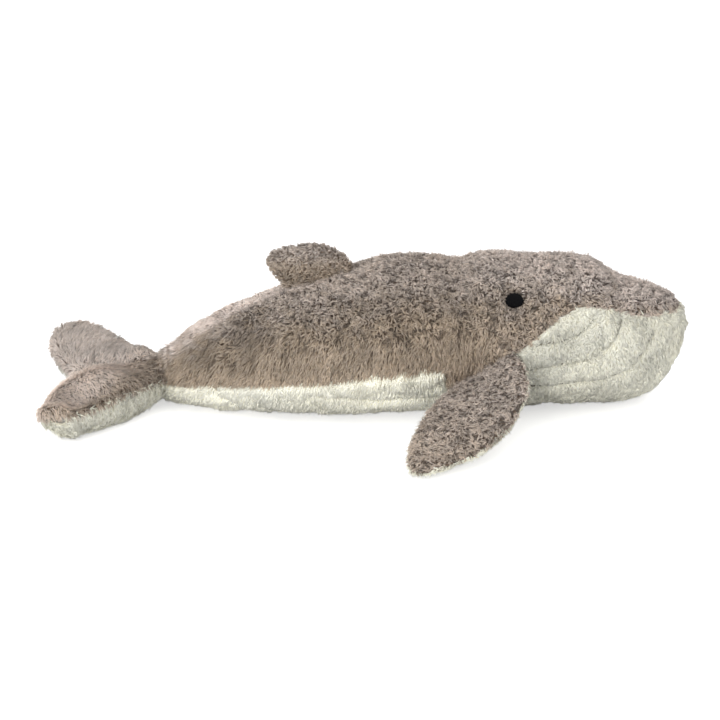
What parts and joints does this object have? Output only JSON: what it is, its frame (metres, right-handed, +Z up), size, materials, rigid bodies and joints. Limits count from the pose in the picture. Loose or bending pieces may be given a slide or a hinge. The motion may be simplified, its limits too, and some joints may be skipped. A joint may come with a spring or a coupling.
{
  "type": "plush whale",
  "caption": "Stuffed toy whale lying on its belly, with a pleated cream throat, paddle-shaped side fins, a small back fin and a two-lobed tail fluke.",
  "frame": {"origin": "under the middle of the whole length, on the floor plane that the belly is pressed flat on", "axes": "+X from the tail fluke towards the snout, +Y towards the whale's left side, +Z up"},
  "size_m": [0.376, 0.2436, 0.0944],
  "materials": {
    "grey_plush": "matte curly pile",
    "cream_plush": "matte curly pile",
    "filling": "loose polyester fibre",
    "black_thread": "satin embroidery thread",
    "pale_thread": "matte sewing thread"
  },
  "bodies": {
    "torso": {"flank_panel_right": "grey_plush", "flank_panel_left": "grey_plush", "belly_panel": "cream_plush", "tail_stuffing": "filling", "body_stuffing": "filling", "head_stuffing": "filling", "eye_right": "black_thread", "eye_left": "black_thread", "throat_pleat_right_1": "pale_thread", "throat_pleat_left_1": "pale_thread", "throat_pleat_right_2": "pale_thread", "throat_pleat_left_2": "pale_thread", "throat_pleat_right_3": "pale_thread", "throat_pleat_left_3": "pale_thread"},
    "pectoral_fin_right": {"fin_right_upper_panel": "grey_plush", "fin_right_lower_panel": "cream_plush", "fin_right_stuffing": "filling"},
    "pectoral_fin_left": {"fin_left_upper_panel": "grey_plush", "fin_left_lower_panel": "cream_plush", "fin_left_stuffing": "filling"},
    "dorsal_fin": {"back_fin_left_panel": "grey_plush", "back_fin_right_panel": "grey_plush", "back_fin_stuffing": "filling"},
    "tail_fluke": {"fluke_upper_panel": "grey_plush", "fluke_lower_panel": "cream_plush", "fluke_stuffing_right": "filling", "fluke_stuffing_left": "filling"}
  },
  "joints": [
    {"name": "pectoral_fin_right_flap", "type": "hinge", "parent": "torso", "child": "pectoral_fin_right", "pos_m": [0.06593, -0.04684, 0.03249], "axis": [-0.8458, 0.084, -0.5269], "range_deg": [-30, 60]},
    {"name": "pectoral_fin_left_flap", "type": "hinge", "parent": "torso", "child": "pectoral_fin_left", "pos_m": [0.06593, 0.04684, 0.03249], "axis": [0.8458, 0.084, 0.5269], "range_deg": [-30, 60]},
    {"name": "dorsal_fin_lean", "type": "hinge", "parent": "torso", "child": "dorsal_fin", "pos_m": [-0.02595, 0, 0.07587], "axis": [0.963, 0, 0.2694], "range_deg": [-40, 40], "stiffness_Nm_per_rad": 0.02},
    {"name": "tail_fluke_tilt", "type": "hinge", "parent": "torso", "child": "tail_fluke", "pos_m": [-0.11401, 0, 0.0185], "axis": [0, 1, 0], "range_deg": [-25, 40], "stiffness_Nm_per_rad": 0.12}
  ]
}
